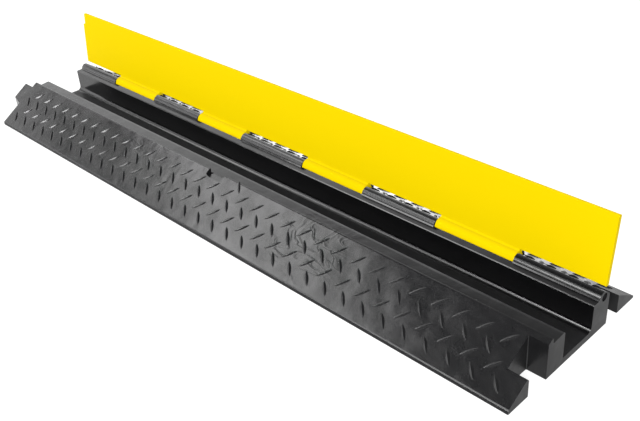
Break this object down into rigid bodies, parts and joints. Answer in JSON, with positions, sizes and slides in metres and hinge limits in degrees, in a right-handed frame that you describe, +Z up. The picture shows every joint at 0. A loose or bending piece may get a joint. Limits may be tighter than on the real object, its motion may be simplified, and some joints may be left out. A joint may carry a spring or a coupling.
{
  "type": "floor cord cover",
  "caption": "Straight floor cord cover: a black rubber ramp with one cable channel under a hinged yellow lid, with tabs and notches that link it end to end.",
  "frame": {"origin": "centre of the underside, at mid-length of the body without its tabs, on the floor", "axes": "+X along the ramp towards the end with the notches, +Y across it towards the hinge, +Z up"},
  "size_m": [1.022, 0.24, 0.1375],
  "materials": {
    "rubber_black": "moulded, satin",
    "plastic_yellow": "moulded, satin",
    "rod_steel": "drawn bar"
  },
  "bodies": {
    "base": {"base": "rubber_black", "hinge_rod": "rod_steel"},
    "lid": {"lid": "plastic_yellow"}
  },
  "joints": [
    {"name": "lid_hinge", "type": "hinge", "parent": "base", "child": "lid", "pos_m": [0, 0.051, 0.042], "axis": [1, 0, 0], "range_deg": [0, 96]}
  ]
}
